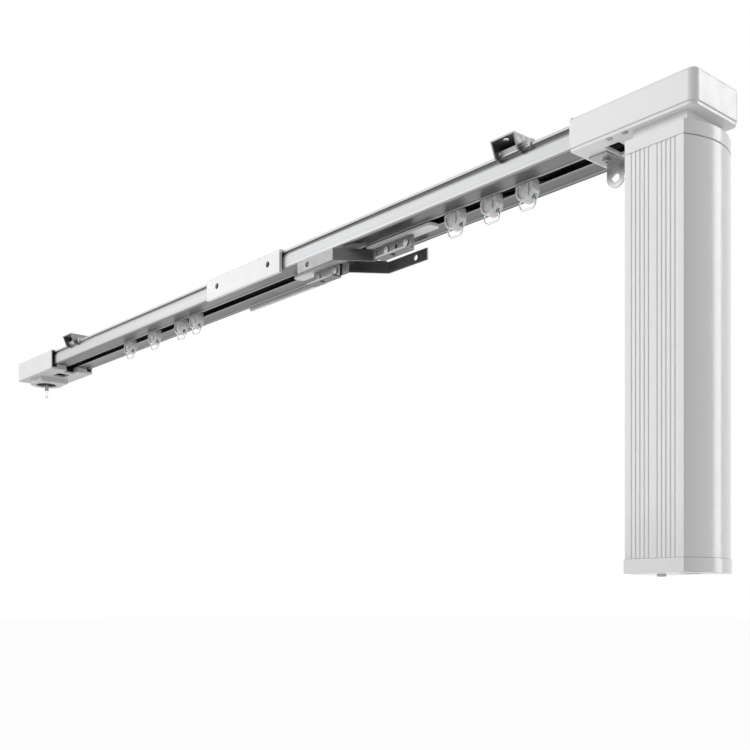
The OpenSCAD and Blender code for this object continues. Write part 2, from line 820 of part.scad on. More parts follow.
// Power inlet in the bottom cap: an open shroud with two contact blades
module power_inlet() {
    blade = 0.8;
    color([0.2, 0.2, 0.2]) translate([motor_x + inlet_x, rail_y, motor_bot]) union() {
        difference() {
            translate([-inlet_w / 2, -inlet_d / 2, 0]) cube([inlet_w, inlet_d, inlet_h]);
            translate([inlet_wall - inlet_w / 2, inlet_wall - inlet_d / 2, -over])
                cube([inlet_w - 2 * inlet_wall, inlet_d - 2 * inlet_wall, inlet_h - inlet_wall + over]);
        }
        for (side = [-1, 1]) translate([side * inlet_w / 5 - blade / 2, -blade, inlet_h / 3])
            cube([blade, 2 * blade, inlet_h / 2]);
    }
}

// Setting button: a domed stem through the bottom cap, kept in by a lip
module set_button() {
    edge = 0.4;
    color("Silver") translate([motor_x + button_x, rail_y + button_y, motor_bot]) union() {
        translate([0, 0, -button_proud]) cylinder(r1 = button_r - edge, r2 = button_r, h = edge);
        translate([0, 0, edge - button_proud])
            cylinder(r = button_r, h = cap_wall + button_proud + button_travel);
        translate([0, 0, cap_wall + seat]) cylinder(r = button_r + button_lip, h = button_travel);
    }
}

// Places its children at the hanger's middle: side 1 is the right carrier, side -1 its mirror image
module at_hanger(side) {
    translate([meet_x, rail_y, 0]) mirror([side < 0 ? 1 : 0, 0, 0])
        translate([hanger_off, 0, 0]) children();
}

// Slider: deck under the slot, web through it, and a grip that reaches to the carrier's own run of belt
module slider(side) {
    grip_out = belt_out + gap + grip_t;
    color("White") at_hanger(side) difference() {
        union() {
            translate([0, 0, deck_bot]) linear_extrude(deck_t)
                end_rounded(-deck_in, deck_tail, deck_half, deck_r);
            translate([-web_in, -web_half, deck_bot + deck_t / 2])
                cube([web_in + web_tail, 2 * web_half, web_top - deck_bot - deck_t / 2]);
            along_x(-grip_half, 2 * grip_half) mirror([side < 0 ? 1 : 0, 0])
                polygon([[0, web_top - grip_h], [belt_in - gap - grip_t, web_top - grip_h],
                         [belt_in - gap - grip_t, grip_bot], [belt_in - gap, grip_bot],
                         [belt_in - gap, web_top - grip_h], [belt_out + gap, web_top - grip_h],
                         [belt_out + gap, grip_bot], [grip_out, grip_bot],
                         [grip_out, web_top], [0, web_top]]);
        }
        for (x = [-wheel_x, wheel_x]) translate([x, 0, wheel_z]) across(axle_pin + fit, 4 * web_half);
        translate([-hanger_l / 2 - seat, -plate_t / 2 - fit, deck_bot - over])
            cube([hanger_l + 2 * seat, plate_t + 2 * fit, hanger_seat + over]);
    }
}

// Zinc hanger: a plate seated in the deck with a foot folded forward, pierced for a hook
module hanger(side) {
    color([0.72, 0.72, 0.7]) at_hanger(side) difference() {
        along_x(-hanger_l / 2, hanger_l)
            polygon([[-hanger_foot, hanger_bot], [plate_t / 2, hanger_bot],
                     [plate_t / 2, deck_bot + hanger_seat],
                     [-plate_t / 2, deck_bot + hanger_seat], [-plate_t / 2, hanger_bot + plate_t],
                     [-hanger_foot, hanger_bot + plate_t]]);
        for (x = [-rivet_x, rivet_x]) translate([x, 0, rivet_z]) across(rivet_r + fit, 4 * plate_t);
        translate([0, -hanger_foot / 2 - plate_t / 4, hanger_bot])
            cube([hanger_hole, hanger_hole, 4 * plate_t], center = true);
    }
}

// Plan of an overlap arm, drawn outwards from the hanger's plate: root, slant and free end
function arm_plan() = [
    [hanger_l / 2, plate_t / 2], [hanger_l / 2, plate_t * 3 / 2], [arm_mitre - arm_root, plate_t * 3 / 2],
    [arm_mitre - arm_bend, arm_out + plate_t / 2], [-arm_reach, arm_out + plate_t / 2],
    [-arm_reach, arm_out - plate_t / 2], [-arm_mitre - arm_bend, arm_out - plate_t / 2],
    [-arm_mitre - arm_root, plate_t / 2]];

// Stiffening lip along the slant's top
module arm_lip_plan() {
    slant = norm([arm_bend - arm_root, arm_out - plate_t]);
    translate([-arm_root, plate_t]) rotate(180 - arm_angle) translate([slant / 4, 0])
        square([slant * 0.7, arm_lip]);
}

module arm(side) {
    color([0.45, 0.45, 0.46]) at_hanger(side) mirror([0, side > 0 ? 1 : 0, 0]) difference() {
        union() {
            translate([0, 0, arm_bot]) linear_extrude(arm_h) polygon(arm_plan());
            translate([0, 0, arm_top - plate_t]) linear_extrude(plate_t) arm_lip_plan();
        }
        for (x = [-rivet_x, 0, rivet_x]) translate([x, plate_t, rivet_z])
            across(rivet_r + fit, 2 * plate_t);
        translate([arm_hole_in - arm_reach, arm_out, rivet_z]) across(arm_hole_r, 4 * plate_t);
        translate([-2 * rivet_x, plate_t, rivet_z])
            cube([rivet_r / 2, 4 * plate_t, arm_h / 2], center = true);
    }
}

// Two rivets that hold an arm to its hanger
module rivets(side) {
    color("LightGray") at_hanger(side) mirror([0, side > 0 ? 1 : 0, 0]) for (x = [-rivet_x, rivet_x])
        translate([x, plate_t / 2, rivet_z]) union() {
            across(rivet_r, 2 * plate_t);
            for (out = [-1, 1]) translate([0, out * (plate_t + rivet_head_h / 2), 0])
                across(rivet_head_r, rivet_head_h);
        }
}

// Wheel pair on one pin, rolling on both flanges of the rail
module wheels(side, x) {
    color("WhiteSmoke") at_hanger(side) translate([x, 0, wheel_z]) union() {
        across(axle_pin, 2 * (wheel_in + wheel_w));
        for (out = [-1, 1]) {
            translate([0, out * (wheel_in + wheel_w / 2), 0]) across(wheel_r, wheel_w);
            translate([0, out * (web_half + glide + wheel_in) / 2, 0])
                across(wheel_hub, wheel_in - web_half - glide);
        }
    }
}

module slider_left() slider(-1);
module slider_right() slider(1);
module hanger_left() hanger(-1);
module hanger_right() hanger(1);
module arm_left() arm(-1);
module arm_right() arm(1);
module rivets_left() rivets(-1);
module rivets_right() rivets(1);
module wheels_left_a() wheels(-1, -wheel_x);
module wheels_left_b() wheels(-1, wheel_x);
module wheels_right_a() wheels(1, -wheel_x);
module wheels_right_b() wheels(1, wheel_x);

// Face of a runner in XZ: round bottom and straight sides, drawn inside its edge by the inset
module runner_face(inset) {
    circle(runner_d / 2 - inset);
    translate([inset - runner_d / 2, 0]) square([runner_d - 2 * inset, runner_top - runner_z - inset]);
}

// Curtain runner: a foot inside the rail, a stem through the slot, and a round-bottomed body whose two
// faces have sunk panels with a rib and a boss; its eye passes through the cross hole
module runner(x) {
    color([0.92, 0.93, 0.95]) translate([x, rail_y, 0]) difference() {
        union() {
            translate([0, 0, runner_foot]) intersection() {
                cylinder(r = runner_foot_r, h = runner_foot_h);
                translate([-runner_foot_x, -runner_foot_r, 0])
                    cube([2 * runner_foot_x, 2 * runner_foot_r, runner_foot_h]);
            }
            translate([-stem_x, -runner_t / 2, runner_z])
                cube([2 * stem_x, runner_t, runner_foot + glide - runner_z]);
            translate([0, 0, runner_z]) rotate([90, 0, 0]) linear_extrude(runner_t, center = true)
                runner_face(0);
        }
        for (side = [-1, 1]) translate([0, side * runner_t / 2, runner_z]) rotate([90, 0, 0])
            linear_extrude(2 * panel_in, center = true) difference() {
                runner_face(runner_rim);
                translate([panel_rib_x, -runner_d / 2]) square([panel_rib, runner_d]);
                circle(panel_boss_r);
            }
        translate([0, 0, eye_z]) along(eye_hole, runner_d + 2 * over);
    }
}

// Closed wire loop in XZ with round ends, centred: r to the middle of the wire, flat along X
module wire_loop(r, flat) {
    for (z = [-r, r]) translate([0, 0, z]) along(wire_r, flat);
    for (turn = [0, 180]) rotate(turn) translate([flat / 2, 0, 0]) rotate([90, 0, 0]) rotate(-90)
        rotate_extrude(angle = 180) translate([r, 0]) circle(wire_r);
}

// Wide eye that hangs through a runner's cross hole
module wire_eye(x) {
    color("Silver") translate([x, rail_y, eye_z - eye_r]) union() wire_loop(eye_r, eye_flat);
}

// Tall eye that hangs from the foot of the return axle
module return_eye() {
    color("Silver") translate([return_x, rail_y, return_lug_z - return_eye_r - return_eye_l / 2])
        rotate([0, 90, 0]) union() wire_loop(return_eye_r, return_eye_l);
}

rail_left();
rail_right();
splice_saddle();
splice_screws();
bracket_left();
bracket_right();
latch_left();
latch_right();
head_cover();
head_base();
head_screws();
end_hook();
hook_screw();
return_cap();
return_base();
return_axle();
axle_clip();
return_eye();
motor_neck();
motor_top_cap();
motor_tube();
motor_bottom_cap();
cap_screws();
gear_motor();
gearbox();
control_board();
power_inlet();
set_button();
shaft_bush();
drive_shaft();
drive_pulley();
return_pulley();
belt();
slider_left();
slider_right();
hanger_left();
hanger_right();
arm_left();
arm_right();
rivets_left();
rivets_right();
wheels_left_a();
wheels_left_b();
wheels_right_a();
wheels_right_b();
for (i = [1 : len(runner_x)]) {
    runner(runner_x[i - 1]);
    wire_eye(runner_x[i - 1]);
}
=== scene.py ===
"""Looks of the electric curtain track: finishes for its solids, and eased skins for its larger mouldings."""

import json
import math
import bpy
import numpy as np
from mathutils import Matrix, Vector


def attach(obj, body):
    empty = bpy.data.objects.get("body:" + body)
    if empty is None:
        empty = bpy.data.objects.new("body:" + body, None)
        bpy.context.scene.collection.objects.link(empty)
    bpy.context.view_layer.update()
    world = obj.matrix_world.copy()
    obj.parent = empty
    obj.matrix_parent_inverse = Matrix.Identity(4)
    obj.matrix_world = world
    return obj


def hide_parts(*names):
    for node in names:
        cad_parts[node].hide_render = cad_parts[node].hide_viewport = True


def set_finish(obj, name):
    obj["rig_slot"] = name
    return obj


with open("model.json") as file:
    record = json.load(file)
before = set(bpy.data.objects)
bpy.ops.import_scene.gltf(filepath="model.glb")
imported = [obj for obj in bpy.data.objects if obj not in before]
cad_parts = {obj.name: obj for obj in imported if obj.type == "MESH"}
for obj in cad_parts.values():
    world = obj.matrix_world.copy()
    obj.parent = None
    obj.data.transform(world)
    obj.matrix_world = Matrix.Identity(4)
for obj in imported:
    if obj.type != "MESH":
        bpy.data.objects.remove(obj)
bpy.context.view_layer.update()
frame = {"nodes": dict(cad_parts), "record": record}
nodes = frame["nodes"]
scene = bpy.context.scene
scene.view_settings.view_transform = "Standard"

# The pieces are worked out in millimetres, in the part's own frame.
MM = 0.001
RAIL_Y = 27.5          # middle of the rail
RAIL_TOP = -8.7
RAIL_LOW = -24.5
SLOT_BEAD = 0.5        # how far the slot's edges stand below the flanges
X_RIGHT = 408.0        # rail side of the drive head
X_LEFT = -408.0        # rail side of the return end
X_JOINT = 20.0         # where the two rail lengths meet
TONGUE = 14.0          # how far the rail reaches into each end
MOTOR_X = 474.0        # axis of the motor and of the drive pulley
RETURN_X = -487.0      # axis of the return pulley


def lay_skin(name, grid, body, stands_for, slot, round_v=False, ends=(), ease=40):
    """Mesh from a grid of points [row, place, xyz] in millimetres. Neighbours become quads, and each row is closed
    on itself. The last row is joined to the first if round_v is set, and each row named in ends (0 or -1) is
    filled with one face. Edges that turn by more than ease degrees stay sharp."""
    grid = np.asarray(grid, float)
    index = np.arange(grid.shape[0] * grid.shape[1]).reshape(grid.shape[:2])
    a = index if round_v else index[:-1]
    b = np.roll(index, -1, 0) if round_v else index[1:]
    quads = np.stack([a, np.roll(a, -1, 1), np.roll(b, -1, 1), b], -1)
    faces = quads.reshape(-1, 4).tolist()
    for end in ends:
        row = index[end]
        faces.append((row[::-1] if end == 0 else row).tolist())
    mesh = bpy.data.meshes.new(name)
    mesh.from_pydata((grid.reshape(-1, 3) * MM).tolist(), [], faces)
    mesh.polygons.foreach_set("use_smooth", np.ones(len(mesh.polygons), bool))
    mesh.set_sharp_from_angle(angle=math.radians(ease))
    mesh.update()
    obj = bpy.data.objects.new(name, mesh)
    scene.collection.objects.link(obj)
    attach(obj, body)
    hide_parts(*stands_for)
    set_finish(obj, slot)
    return obj


def even_steps(points, step):
    """The closed line through the points, resampled at equal distances along its length."""
    closed = np.vstack([points, points[:1]])
    along = np.concatenate([[0], np.cumsum(np.linalg.norm(np.diff(closed, axis=0), axis=1))])
    s = np.arange(0, along[-1], along[-1] / round(along[-1] / step))
    return np.stack([np.interp(s, along, closed[:, k]) for k in (0, 1)], -1)


def eased(points, reach, step):
    """Each point becomes the mean of its neighbours within reach along the closed line, so corners are eased."""
    n = max(1, int(reach / step / 2))
    return sum(np.roll(points, k, 0) for k in range(-n, n + 1)) / (2 * n + 1)


def outward(points):
    """Unit normal at each point of a closed line that runs anticlockwise: the tangent turned a right angle."""
    t = np.roll(points, -1, 0) - np.roll(points, 1, 0)
    t /= np.linalg.norm(t, axis=1)[:, None]
    return np.stack([t[:, 1], -t[:, 0]], -1)


def ribbed_outline(flat, depth, bulge, centres, width, cut, step=0.12, reach=0.6):
    """Motor section: straight front and back with flat-bottomed grooves at the given centres, and sides that
    are arcs of one circle. The line is then eased over reach."""
    r = depth * depth / (8 * bulge) + bulge / 2
    swing = math.asin(depth / 2 / r)
    x = np.linspace(-flat / 2, flat / 2, 900)
    inside = (np.abs(x[:, None] - np.asarray(centres)[None]) < width / 2).any(1)
    front = np.stack([x, -depth / 2 + cut * inside], -1)
    a = np.linspace(-swing, swing, 160)[1:-1]
    side = np.stack([flat / 2 + bulge - r + r * np.cos(a), r * np.sin(a)], -1)
    line = np.vstack([front, side, -front, -side])
    return eased(even_steps(line, step), reach, step)


def ribbed_tube():
    """Motor tube: the ribbed outline carried from the lower cap to the upper, eased at its foot, with a plain
    inner wall, closed all round. Under the upper cap it steps in, by more on the curved sides than on the
    ribbed faces, which leaves a shadow gap."""
    flat, depth, bulge = 42.4, 53.0, 7.0
    groove_w, groove_d, first, pitch, grooves = 1.5, 0.4, 3.05, 3.15, 5
    low, high, ease, wall = -298.5, -44.1, 0.35, 2.5
    lip, gap_in, gap_z, gap_z_more = 0.25, 0.3, 0.12, 0.63
    centres = [s * (first + pitch * i) for s in (-1, 1) for i in range(grooves)]
    outer = ribbed_outline(flat, depth, bulge, centres, groove_w, groove_d)
    normal = outward(outer)
    side = np.clip(np.abs(outer[:, 0]) - flat / 2 + 0.5, 0, 1)
    step_in = gap_in + side
    step_z = high - gap_z - gap_z_more * side
    rows = [(wall, low), (ease, low), (0.0, low + ease), (0.0, step_z - lip), (lip, step_z), (step_in, step_z),
            (step_in, high), (wall, high)]
    axis, n = np.array([MOTOR_X, RAIL_Y]), len(outer)
    grid = [np.column_stack([outer - np.broadcast_to(inset, n)[:, None] * normal + axis, np.broadcast_to(z, n)])
            for inset, z in rows]
    return lay_skin("ribbed_tube", grid, "track", ["motor_tube"], "painted_tube", round_v=True, ease=32)


def rail_outline(step=0.1, reach=0.4):
    """Rail section seen from the motor, anticlockwise, as distance from the rail's middle and height: an upright
    lip that slopes in at its foot, a face that is a parabola down to half height and then straight, a round
    that curls a little below the flange, the beaded slot, and a hollow with a rib on each flange. The line is
    then eased over reach."""
    half, flat, wall, hollow = 24.0, 23.7, 1.5, 21.3
    lip, lip_h, slope_h = 1.6, 1.8, 0.9
    foot, curl = 1.9, 1.2
    slot, bead_top, bead_low = 5.0, 7.0, 6.9
    rib_near, rib_far, rib_h = 12.8, 14.0, 2.4
    t = np.linspace(0, 1, 25)
    high = RAIL_TOP - lip_h - slope_h
    face = np.stack([half - lip + (flat - half + lip) * t * (2 - t),
                     high + ((RAIL_TOP + RAIL_LOW) / 2 - high) * t], -1)
    a = np.linspace(0, np.pi / 2, 19)
    turned = np.stack([flat - foot * (1 - np.cos(a)), RAIL_LOW - curl + foot * (1 - np.sin(a))], -1)
    back = flat - foot - np.array([1.0, 1.7, 2.2])
    raised = np.stack([back, RAIL_LOW - curl * np.array([0.8, 0.2, 0.0])], -1)
    bead, floor = RAIL_LOW - SLOT_BEAD, RAIL_LOW + wall
    inner = [(bead_top, RAIL_LOW), (bead_low, bead), (slot, bead), (slot, floor),
             (rib_near, floor), (rib_near, floor + rib_h), (rib_far, floor + rib_h), (rib_far, floor),
             (hollow, floor), (hollow, RAIL_TOP - wall)]
    rear = np.vstack([[(half, RAIL_TOP), (half, RAIL_TOP - lip_h)], face, turned, raised, inner])
    line = np.vstack([rear, rear[::-1] * [-1, 1]])[::-1]
    return eased(even_steps(line, step), reach, step)


def drawn_rail(name, node, x0, x1, ease=0.12):
    """Length of rail: the section carried along X from x0 to x1, its two cut ends eased and closed."""
    line = rail_outline()
    normal = outward(line)
    rows = [(ease, x0), (0.0, x0 + ease), (0.0, x1 - ease), (ease, x1)]
    grid = [np.column_stack([np.full(len(line), x), line - inset * normal + np.array([RAIL_Y, 0.0])])
            for inset, x in rows]
    return lay_skin(name, grid, "track", [node], "aluminium", ends=(0, -1), ease=30)


def box_outline(x0, x1, half, r_near, r_far, marks, step=0.8, apart=1e-4):
    """Plan rectangle, anticlockwise, with one radius at the x0 corners and another at the x1 corners. Pairs of
    close points stand at the marks, which are places y on the x0 side, so that a wall can step there."""
    def corner(cx, cy, r, start):
        a = np.radians(np.linspace(start, start + 90, 17))
        return np.stack([cx + r * np.cos(a), cy + r * np.sin(a)], -1)

    def straight(p, q):
        n = max(2, int(np.hypot(*(np.subtract(q, p))) / step))
        t = np.linspace(0, 1, n)[1:-1, None]
        return np.asarray(p) * (1 - t) + np.asarray(q) * t

    front = corner(x1 - r_far, -half + r_far, r_far, -90)
    back = corner(x1 - r_far, half - r_far, r_far, 0)
    near_back = corner(x0 + r_near, half - r_near, r_near, 90)
    near_front = corner(x0 + r_near, -half + r_near, r_near, 180)
    y = np.sort(np.concatenate([np.linspace(half - r_near, r_near - half, 40)[1:-1]]
                               + [[m - apart, m + apart] for m in marks]))[::-1]
    near = np.stack([np.full(len(y), x0), y], -1)
    return np.vstack([front, straight(front[-1], back[0]), back, straight(back[-1], near_back[0]), near_back,
                      near, near_front, straight(near_front[-1], front[0])])


def moulded_box(name, stands_for, slot, x0, x1, half, z0, z1, wall, r_near, r_far, r_top, mouth, mouth_z):
    """Moulded cover open below: walls follow the plan outline, the top edge is a quarter round of r_top, the roof
    is flat, and an inner skin lies one wall inside. On the x0 side the wall's foot rises to mouth_z for the
    width of the mouth."""
    edge, lap, close = 0.25, 2.0, 1e-3
    mirror = x1 < x0
    lo, hi = (-x0, -x1) if mirror else (x0, x1)
    line = box_outline(lo, hi, half, r_near, r_far, [-mouth, mouth])
    normal = outward(line)
    foot = np.where((line[:, 0] < lo + close) & (np.abs(line[:, 1]) < mouth), mouth_z, z0)
    a = np.radians(np.linspace(0, 90, 9))
    outer = [(edge, foot), (0.0, foot + edge)]
    outer += [(r_top * (1 - math.cos(t)), z1 - r_top + r_top * math.sin(t)) for t in a]
    roof = z1 - wall
    inner = [(wall + lap, roof), (wall, roof), (wall, np.minimum(foot, roof - 0.01))]
    grid = []
    for inset, z in inner + outer:
        p = line - inset * normal
        x = -p[:, 0] if mirror else p[:, 0]
        grid.append(np.column_stack([x, p[:, 1] + RAIL_Y, np.broadcast_to(z, len(line))]))
    if mirror:
        grid = [row[::-1] for row in grid]
    return lay_skin(name, grid, "track", stands_for, slot, ends=(0, -1))


def cross_screws(name, stands_for, slot, x_mid, x_off, y_off, z_seat, r, r_shank, length, rise=0.9):
    """Four screws seen from below: over the disc of radius r the head bulges by rise, less a share of the square
    of the distance and less a cross recess whose two arms have eased sides; the rim then turns up and narrows
    to the shank. One pair stands at each x_off from x_mid, at y_off to both sides of the rail's middle."""
    arm_w, arm_ease, arm_l = 0.2 * r, 0.08 * r, 0.62 * r
    dome, recess, point, tip = 0.7, 0.55, 0.6, 0.3
    t = np.linspace(0, 2 * np.pi, 73)[:-1]
    rad = np.linspace(0.02, 1, 22)[:, None] * r
    x, y = rad * np.cos(t), rad * np.sin(t)
    arm = np.maximum(np.clip((arm_w - np.abs(x)) / arm_ease, 0, 1) * (np.abs(y) < arm_l),
                     np.clip((arm_w - np.abs(y)) / arm_ease, 0, 1) * (np.abs(x) < arm_l))
    face = np.stack([x, y, -rise * (1 - dome * (rad / r) ** 2) + recess * rise * arm], -1)
    neck = [np.stack([k * np.cos(t), k * np.sin(t), np.full(len(t), z)], -1)
            for k, z in ((r, 0.0), (r_shank, 0.0), (r_shank, length - point), (tip * r_shank, length))]
    one = np.concatenate([face, neck])
    places = [(x_mid + px, RAIL_Y + py) for px in x_off for py in (-y_off, y_off)]
    return [lay_skin(f"{name}_{i + 1}", one + np.array([px, py, z_seat]), "track", stands_for if i == 0 else [],
                     slot, ends=(0, -1), ease=35) for i, (px, py) in enumerate(places)]


def toothed_belt():
    """Belt loop: the path is two straight runs and two half circles round the pulley axes. The back stays at one
    distance from the path, and the toothed side steps in and out about every 3 mm along it."""
    r_path, r_back, r_tooth, tooth_h = 18.55, 19.25, 17.85, 0.5
    low, high, pitch, steps = -21.0, -15.0, 3, 6
    run = MOTOR_X - RETURN_X
    arc = np.pi * r_path
    total = 2 * run + 2 * np.pi * r_path
    teeth = int(total / pitch)
    s = np.linspace(0, total, teeth * steps + 1)[:-1]
    stretch = [s < run, s < run + arc, s < 2 * run + arc]
    angle = np.select(stretch, [-np.pi / 2, (s - run) / r_path - np.pi / 2, np.pi / 2],
                      (s - 2 * run - arc) / r_path + np.pi / 2)
    x = np.select(stretch, [RETURN_X + s, MOTOR_X, MOTOR_X - (s - run - arc)], RETURN_X)
    tooth = np.clip(1.2 * np.cos(2 * np.pi * teeth * s / total) + 0.5, 0, 1)
    toothed = r_tooth + tooth_h * (1 - tooth)
    grid = [np.column_stack([x + d * np.cos(angle), RAIL_Y + d * np.sin(angle), np.full(len(s), z)])
            for d, z in ((r_back, low), (r_back, high), (toothed, high), (toothed, low))]
    return lay_skin("toothed_belt", grid, "track", ["belt"], "belt_rubber", round_v=True, ease=25)


class Finish:
    """A procedural finish on object coordinates: each call adds one detail to the same shader."""

    def __init__(self, name, colour, rough, metal=0.0, soft_edge=0.3, **constants):
        self.mat = bpy.data.materials.new(name)
        self.mat.use_nodes = True
        self.tree = self.mat.node_tree
        self.shader = self.tree.nodes["Principled BSDF"]
        self.shader.inputs["Metallic"].default_value = metal
        for socket, value in constants.items():
            self.shader.inputs[socket.replace("_", " ")].default_value = value
        self.place = self.node("ShaderNodeTexCoord").outputs["Object"]
        self.colour = (*colour, 1.0)
        self.tint = None
        self.rough = rough
        self.gloss = None
        edge = self.node("ShaderNodeBevel", samples=4)
        edge.inputs["Radius"].default_value = soft_edge * MM
        self.normal = edge.outputs[0]

    def node(self, kind, **settings):
        made = self.tree.nodes.new(kind)
        for key, value in settings.items():
            setattr(made, key, value)
        return made

    def join(self, a, b):
        self.tree.links.new(a, b)

    def pattern(self, kind, size, stretch=(1, 1, 1), detail=3.0):
        """Noise or cells whose features are about size millimetres, drawn out by stretch."""
        mapping = self.node("ShaderNodeMapping")
        mapping.inputs["Scale"].default_value = [1 / k for k in stretch]
        self.join(self.place, mapping.inputs["Vector"])
        made = self.node("ShaderNodeTexVoronoi" if kind == "cells" else "ShaderNodeTexNoise")
        made.inputs["Scale"].default_value = 1 / (size * MM)
        if kind != "cells":
            made.inputs["Detail"].default_value = detail
        self.join(mapping.outputs[0], made.inputs["Vector"])
        return made.outputs["Color" if kind == "cells" else 0]

    def ranged(self, value, low, high, out_low, out_high):
        """Value carried from the range low to high over to the range out_low to out_high, and held there."""
        made = self.node("ShaderNodeMapRange")
        for socket, number in (("From Min", low), ("From Max", high), ("To Min", out_low), ("To Max", out_high)):
            made.inputs[socket].default_value = number
        self.join(value, made.inputs["Value"])
        return made.outputs[0]

    def shade(self, value, low, high, dark, light):
        """Colour runs from dark to light times the base as the pattern runs from low to high."""
        factor = self.ranged(value, low, high, dark, light)
        mix = self.node("ShaderNodeMix", data_type="RGBA", blend_type="MULTIPLY")
        mix.inputs["Factor"].default_value = 1.0
        if self.tint is None:
            mix.inputs[6].default_value = self.colour
        else:
            self.join(self.tint, mix.inputs[6])
        self.join(factor, mix.inputs[7])
        self.tint = mix.outputs[2]

    def polish(self, value, low, high, smooth, dull):
        """Roughness runs from smooth to dull with the pattern."""
        self.gloss = self.ranged(value, low, high, smooth, dull)

    def relief(self, value, depth):
        """Surface relief of the given depth in millimetres."""
        bump = self.node("ShaderNodeBump")
        bump.inputs["Strength"].default_value = 1.0
        bump.inputs["Distance"].default_value = depth * MM
        self.join(value, bump.inputs["Height"])
        self.join(self.normal, bump.inputs["Normal"])
        self.normal = bump.outputs[0]
        return self

    def painted_shade_facing_down(self, dark):
        """Painted shade: colour is multiplied by dark where the surface looks straight down, and by one where it
        doesn't.
        """
        split = self.node("ShaderNodeSeparateXYZ")
        self.join(self.node("ShaderNodeNewGeometry").outputs["True Normal"], split.inputs[0])
        self.shade(split.outputs["Z"], -0.97, -0.8, dark, 1.0)

    def painted_highlight_at_height(self, z, reach, tone):
        """Painted highlight: colour is multiplied by tone at the height z in millimetres, and by one further off
        than reach.
        """
        split = self.node("ShaderNodeSeparateXYZ")
        self.join(self.place, split.inputs[0])
        above = self.node("ShaderNodeMath", operation="SUBTRACT")
        self.join(split.outputs["Z"], above.inputs[0])
        above.inputs[1].default_value = z * MM
        away = self.node("ShaderNodeMath", operation="ABSOLUTE")
        self.join(above.outputs[0], away.inputs[0])
        self.shade(away.outputs[0], 0.5 * reach * MM, reach * MM, tone, 1.0)

    def worn(self, reach, low, light):
        """Edges of the solid, where the eased normal departs from the true one, turn light times the base."""
        edge = self.node("ShaderNodeBevel", samples=6)
        edge.inputs["Radius"].default_value = reach * MM
        true = self.node("ShaderNodeNewGeometry")
        dot = self.node("ShaderNodeVectorMath", operation="DOT_PRODUCT")
        self.join(edge.outputs[0], dot.inputs[0])
        self.join(true.outputs["True Normal"], dot.inputs[1])
        self.shade(dot.outputs["Value"], low, 1.0, light, 1.0)

    def done(self):
        """The material, with its colour, roughness and normal joined to the shader."""
        if self.tint is None:
            self.shader.inputs["Base Color"].default_value = self.colour
        else:
            self.join(self.tint, self.shader.inputs["Base Color"])
        if self.gloss is None:
            self.shader.inputs["Roughness"].default_value = self.rough
        else:
            self.join(self.gloss, self.shader.inputs["Roughness"])
        self.join(self.normal, self.shader.inputs["Normal"])
        return self.mat


NOISE = (0.3, 0.7)           # where nearly all of a noise pattern's values lie
CLOSE_NOISE = (0.35, 0.65)   # where most of them lie
CELLS = (0.0, 1.0)           # the cells' values fill this range


def moulded(name, tone, rough, grain=0.25, depth=0.02):
    """Moulded plastic: fine spark-eroded grain, faint flow marks in tone, uneven gloss."""
    f = Finish(name, tone, rough, soft_edge=0.5)
    f.shade(f.pattern("noise", 40, (2, 1, 1), 2), *NOISE, 0.975, 1.0)
    f.polish(f.pattern("noise", 9, detail=5), *CLOSE_NOISE, rough - 0.05, rough + 0.06)
    return f.relief(f.pattern("noise", grain, detail=2), depth).done()


def powder_coat(name, tone, rough):
    """Sprayed powder: orange peel, tiny pits, slow change of gloss."""
    f = Finish(name, tone, rough, soft_edge=0.3)
    f.shade(f.pattern("noise", 60, (1, 1, 3), 2), *NOISE, 0.98, 1.0)
    f.polish(f.pattern("noise", 14, detail=4), *CLOSE_NOISE, rough - 0.04, rough + 0.06)
    f.relief(f.pattern("noise", 1.1, detail=1), 0.02)
    return f.relief(f.pattern("noise", 0.2, detail=2), 0.008).done()


def drawn_aluminium(name, tone, rough):
    """Extruded aluminium: long die lines along the rail in relief, tone and gloss. Painted shade darkens the
    surfaces that face down, and a painted highlight lightens a thin band along the slot's beads."""
    f = Finish(name, tone, rough, 1.0, soft_edge=0.35, Anisotropic=0.4)
    lines = f.pattern("noise", 0.35, (900, 1, 1), 2)
    f.shade(lines, 0.25, 0.75, 0.91, 1.05)
    f.shade(f.pattern("noise", 30, (6, 1, 1), 3), *NOISE, 0.95, 1.02)
    # painted shade on every surface of the rail that faces down
    f.painted_shade_facing_down(0.76)
    # painted highlight: a thin light band along the underside of the slot's beads
    f.painted_highlight_at_height(RAIL_LOW - SLOT_BEAD, 0.25, 1.8)
    f.polish(f.pattern("noise", 0.8, (400, 1, 1), 3), *NOISE, rough - 0.05, rough + 0.05)
    return f.relief(lines, 0.008).done()


def spangled_zinc(name, tone, rough):
    """Galvanised sheet: crystal cells that differ in tone and gloss, a little pitted."""
    f = Finish(name, tone, rough, 1.0, soft_edge=0.25)
    cells = f.pattern("cells", 1.6)
    f.shade(cells, *CELLS, 0.72, 1.12)
    f.shade(f.pattern("noise", 0.5, detail=4), *NOISE, 0.86, 1.05)
    f.polish(cells, *CELLS, rough - 0.1, rough + 0.14)
    return f.relief(f.pattern("noise", 0.4, detail=3), 0.02).done()


def plated_steel(name, tone, rough, along=(1, 1, 1)):
    """Plated steel: fine drawn scratches, slight blotches, bright worn edges."""
    f = Finish(name, tone, rough, 1.0, soft_edge=0.2)
    f.shade(f.pattern("noise", 6, detail=4), *NOISE, 0.9, 1.04)
    f.worn(0.3, 0.9, 1.25)
    f.polish(f.pattern("noise", 0.3, along, 3), *NOISE, rough - 0.06, rough + 0.1)
    return f.relief(f.pattern("noise", 0.3, along, 2), 0.006).done()


def blackened_steel(name, tone, rough):
    """Dark coated sheet: matt coat with fine texture and rubbed edges."""
    f = Finish(name, tone, rough, 0.75, soft_edge=0.25)
    f.shade(f.pattern("noise", 4, detail=4), *NOISE, 0.92, 1.05)
    f.worn(0.3, 0.88, 1.3)
    f.polish(f.pattern("noise", 3, detail=4), *NOISE, rough - 0.08, rough + 0.1)
    return f.relief(f.pattern("noise", 0.25, detail=2), 0.012).done()


